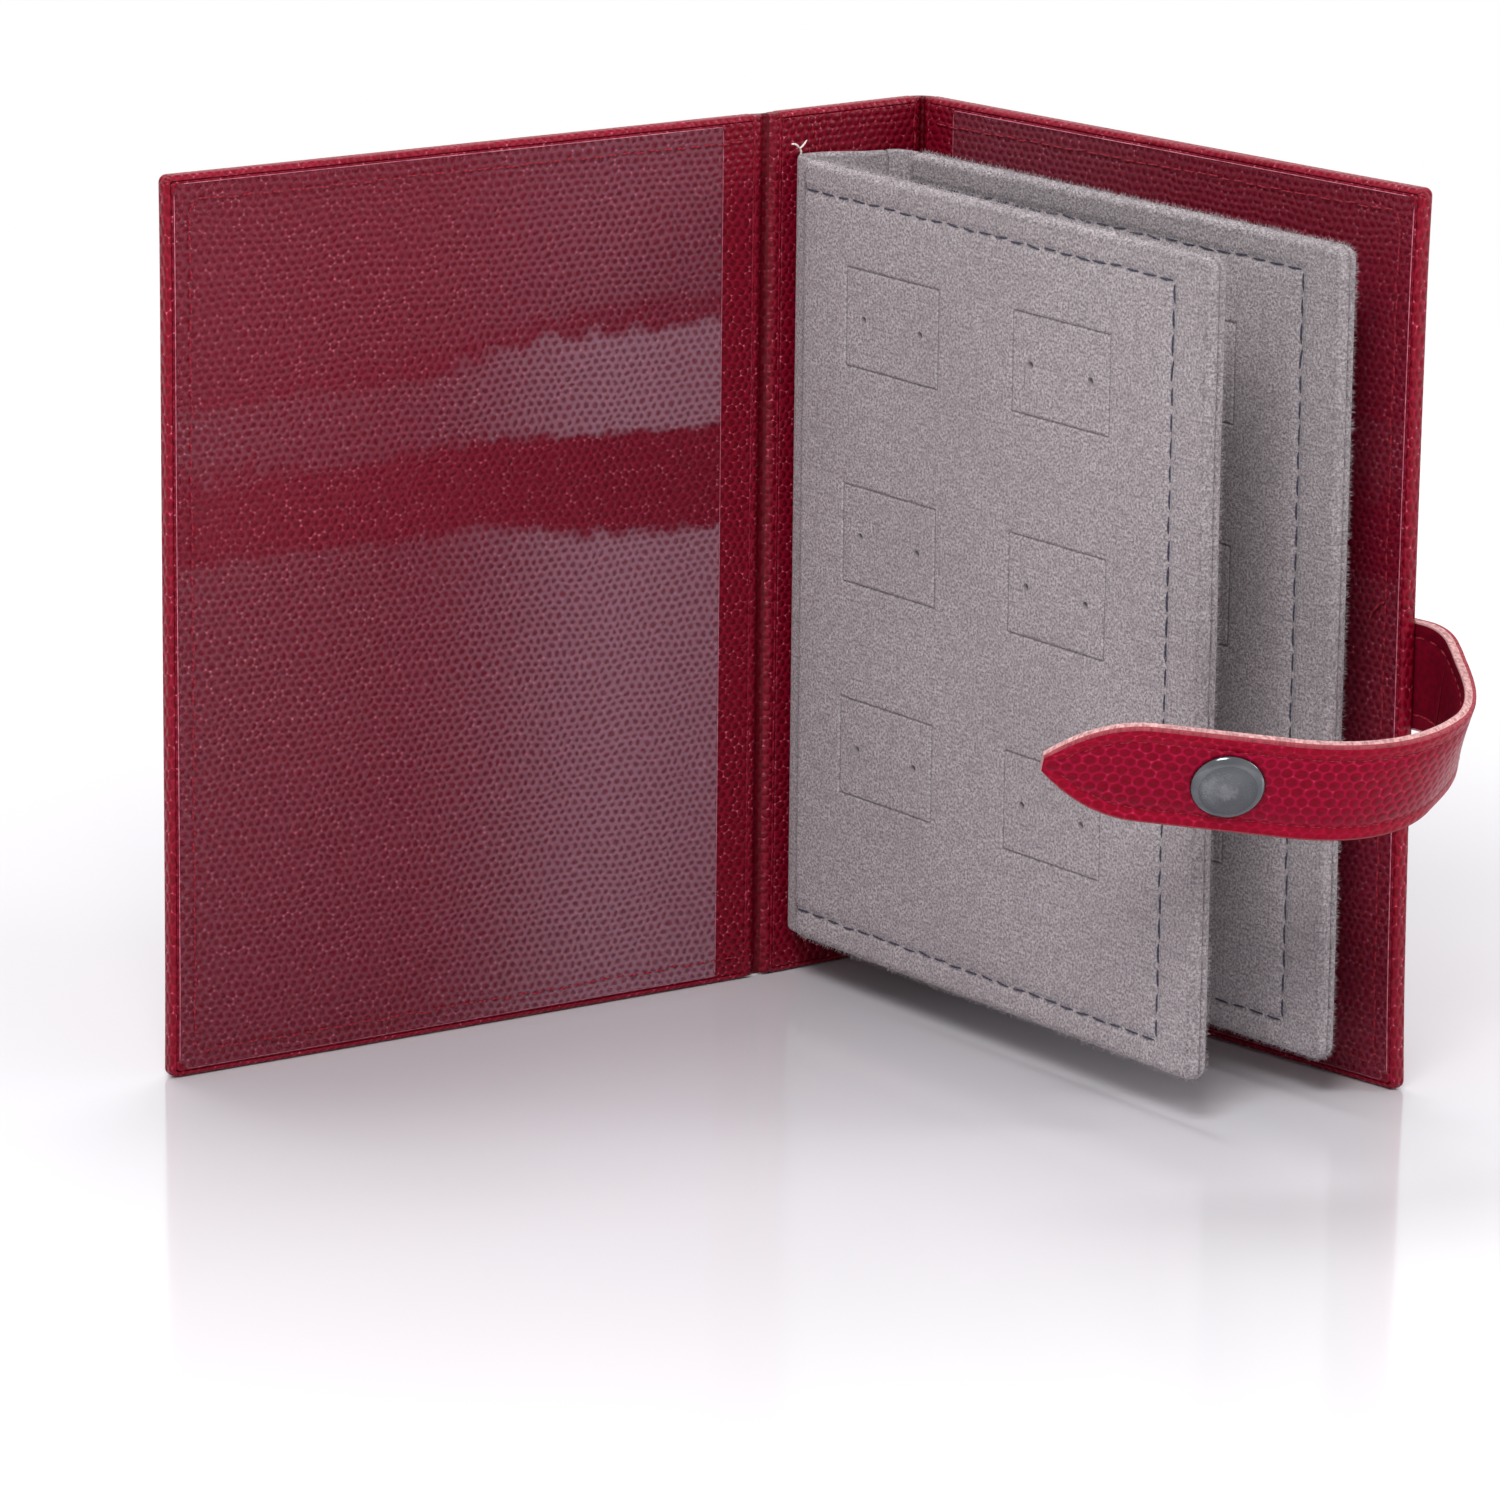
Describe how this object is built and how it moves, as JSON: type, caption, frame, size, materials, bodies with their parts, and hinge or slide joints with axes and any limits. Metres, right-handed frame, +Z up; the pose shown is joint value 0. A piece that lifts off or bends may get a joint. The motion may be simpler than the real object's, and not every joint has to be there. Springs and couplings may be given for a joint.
{
  "type": "earring storage book",
  "caption": "Upright leather book with two felt pages for earrings, clear pockets inside its covers and a snap strap.",
  "frame": {"origin": "on the floor, at the middle of the spine's lower edge, midway between the two cover hinges", "axes": "+Z up along the spine; +X along the spine from the front cover's hinge to the back cover's hinge; -Y the way the pages and the back cover reach"},
  "size_m": [0.1829, 0.1697, 0.165],
  "materials": {
    "leather": "glossy lizard-embossed leatherette",
    "lining": "satin lizard-embossed leatherette",
    "board": "grey board",
    "felt": "soft grey felt",
    "film": "clear soft film",
    "gunmetal": "dark nickel, polished"
  },
  "bodies": {
    "spine": {"spine_leather": "leather", "spine_board": "board", "spine_lining": "lining", "felt_spine_panel": "felt"},
    "front_cover": {"front_joint_leather": "leather", "front_cover_leather": "leather", "front_cover_board": "board", "front_cover_lining": "lining", "front_cover_pocket_film": "film", "snap_stud": "gunmetal", "stud_eyelet": "gunmetal"},
    "back_cover": {"back_joint_leather": "leather", "back_cover_leather": "leather", "back_cover_board": "board", "back_cover_lining": "lining", "back_cover_pocket_film": "film", "strap_root_outer": "leather", "strap_root_lining": "lining"},
    "front_page": {"front_page_hinge_felt": "felt", "front_page_face_felt": "felt", "front_page_stiffener": "board", "front_page_back_felt": "felt"},
    "rear_page": {"rear_page_hinge_felt": "felt", "rear_page_face_felt": "felt", "rear_page_stiffener": "board", "rear_page_back_felt": "felt"},
    "strap_band": {"strap_root_bend": "leather", "strap_band_outer": "leather", "strap_band_lining": "lining"},
    "strap_tongue": {"strap_fold_bend": "leather", "strap_tongue_outer": "leather", "strap_tongue_lining": "lining", "snap_cap": "gunmetal", "snap_socket": "gunmetal"}
  },
  "joints": [
    {"name": "front_cover_hinge", "type": "hinge", "parent": "spine", "child": "front_cover", "pos_m": [-0.01865, 0, 0], "axis": [0, 0, -1], "range_deg": [-92.25, 8], "deforming": ["front_joint_leather"]},
    {"name": "back_cover_hinge", "type": "hinge", "parent": "spine", "child": "back_cover", "pos_m": [0.01865, 0, 0], "axis": [0, 0, 1], "range_deg": [-4.8, 84], "deforming": ["back_joint_leather"]},
    {"name": "front_page_hinge", "type": "hinge", "parent": "spine", "child": "front_page", "pos_m": [-0.01348, -0.00275, 0], "axis": [0, 0, -1], "range_deg": [-3, 70], "deforming": ["front_page_hinge_felt"]},
    {"name": "rear_page_hinge", "type": "hinge", "parent": "spine", "child": "rear_page", "pos_m": [0.01117, -0.00275, 0], "axis": [0, 0, 1], "range_deg": [-8, 5], "deforming": ["rear_page_hinge_felt"]},
    {"name": "strap_swing", "type": "hinge", "parent": "back_cover", "child": "strap_band", "pos_m": [0.03501, -0.13096, 0.07368], "axis": [0, 0, 1], "range_deg": [-23.3, 110], "deforming": ["strap_root_bend"]},
    {"name": "strap_fold", "type": "hinge", "parent": "strap_band", "child": "strap_tongue", "pos_m": [-0.00274, -0.1563, 0.06706], "axis": [0.5583, -0.3191, 0.7659], "range_deg": [-36.71, 20], "deforming": ["strap_fold_bend"]}
  ]
}
